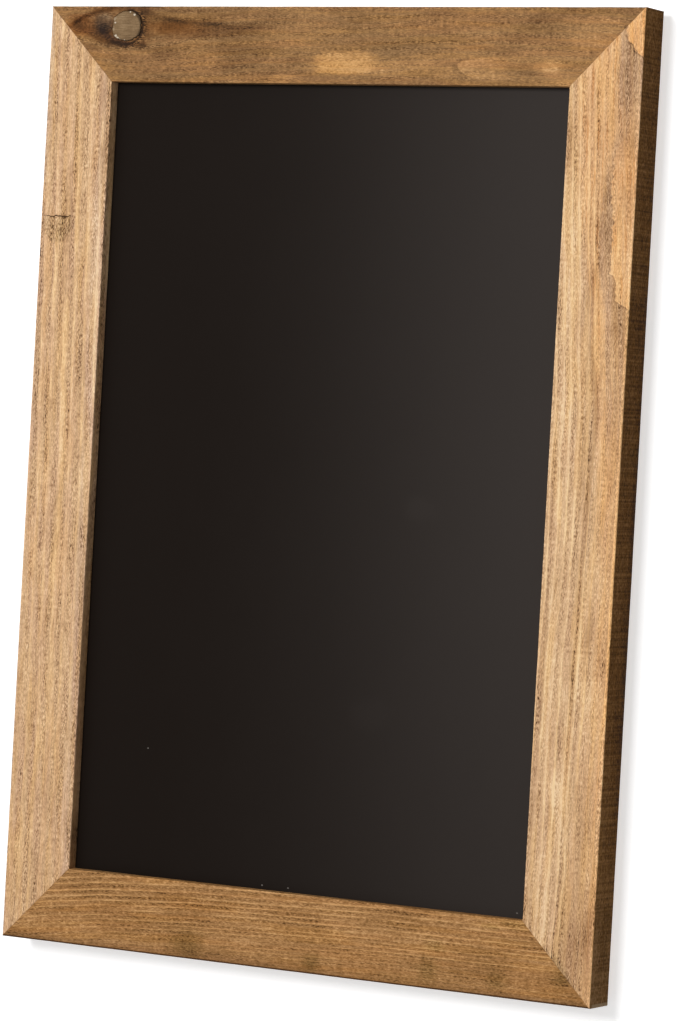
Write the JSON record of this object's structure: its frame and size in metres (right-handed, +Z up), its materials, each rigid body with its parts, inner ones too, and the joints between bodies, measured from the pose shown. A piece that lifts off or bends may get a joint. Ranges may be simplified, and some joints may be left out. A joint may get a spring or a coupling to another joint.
{
  "type": "magnetic chalkboard",
  "caption": "Portrait wall chalkboard: a matt black coated steel writing sheet in a mitred rough pine frame, hung by swinging D-rings.",
  "frame": {"origin": "middle of the line between the two wall hooks that carry the board upright, on the wall plane", "axes": "+Z up, +Y towards the wall, the writing side faces -Y, +X to the right seen from the front"},
  "size_m": [0.362, 0.0272, 0.5144],
  "materials": {
    "dark_pine": "brown stained, rough sawn",
    "light_pine": "golden brown stained, rough sawn",
    "chalkboard": "matt black chalkboard coating",
    "hardboard": "smooth brown hardboard",
    "bare_steel": "bare rolled steel",
    "plated_steel": "nickel plated",
    "rubber": "matt"
  },
  "bodies": {
    "frame": {"top_rail": "dark_pine", "top_tab_1": "bare_steel", "top_tab_2": "bare_steel", "top_hanger_strap": "plated_steel", "top_hanger_screw": "plated_steel", "right_rail": "light_pine", "right_tab_1": "bare_steel", "right_tab_2": "bare_steel", "right_tab_3": "bare_steel", "right_hanger_strap": "plated_steel", "right_hanger_screw": "plated_steel", "bottom_rail": "dark_pine", "bottom_tab_1": "bare_steel", "bottom_tab_2": "bare_steel", "bottom_hanger_strap": "plated_steel", "bottom_hanger_screw": "plated_steel", "left_rail": "light_pine", "left_tab_1": "bare_steel", "left_tab_2": "bare_steel", "left_tab_3": "bare_steel", "left_hanger_strap": "plated_steel", "left_hanger_screw": "plated_steel", "top_left_bumper": "rubber", "top_left_corner_nail_1": "bare_steel", "top_left_corner_nail_2": "bare_steel", "top_right_bumper": "rubber", "top_right_corner_nail_1": "bare_steel", "top_right_corner_nail_2": "bare_steel", "bottom_left_bumper": "rubber", "bottom_left_corner_nail_1": "bare_steel", "bottom_left_corner_nail_2": "bare_steel", "bottom_right_bumper": "rubber", "bottom_right_corner_nail_1": "bare_steel", "bottom_right_corner_nail_2": "bare_steel", "writing_sheet": "chalkboard", "backer": "hardboard"},
    "left_ring": {"left_hanger_ring": "plated_steel"},
    "right_ring": {"right_hanger_ring": "plated_steel"},
    "top_ring": {"top_hanger_ring": "plated_steel"},
    "bottom_ring": {"bottom_hanger_ring": "plated_steel"}
  },
  "joints": [
    {"name": "left_ring_swing", "type": "hinge", "parent": "frame", "child": "left_ring", "pos_m": [-0.16355, -0.00295, -0.0145], "axis": [1, 0, 0], "range_deg": [-3, 183]},
    {"name": "right_ring_swing", "type": "hinge", "parent": "frame", "child": "right_ring", "pos_m": [0.16355, -0.00295, -0.0145], "axis": [1, 0, 0], "range_deg": [-3, 183]},
    {"name": "top_ring_swing", "type": "hinge", "parent": "frame", "child": "top_ring", "pos_m": [0.0865, -0.00295, 0.07755], "axis": [0, 0, -1], "range_deg": [-3, 183]},
    {"name": "bottom_ring_swing", "type": "hinge", "parent": "frame", "child": "bottom_ring", "pos_m": [0.0865, -0.00295, -0.40195], "axis": [0, 0, -1], "range_deg": [-3, 183]}
  ]
}
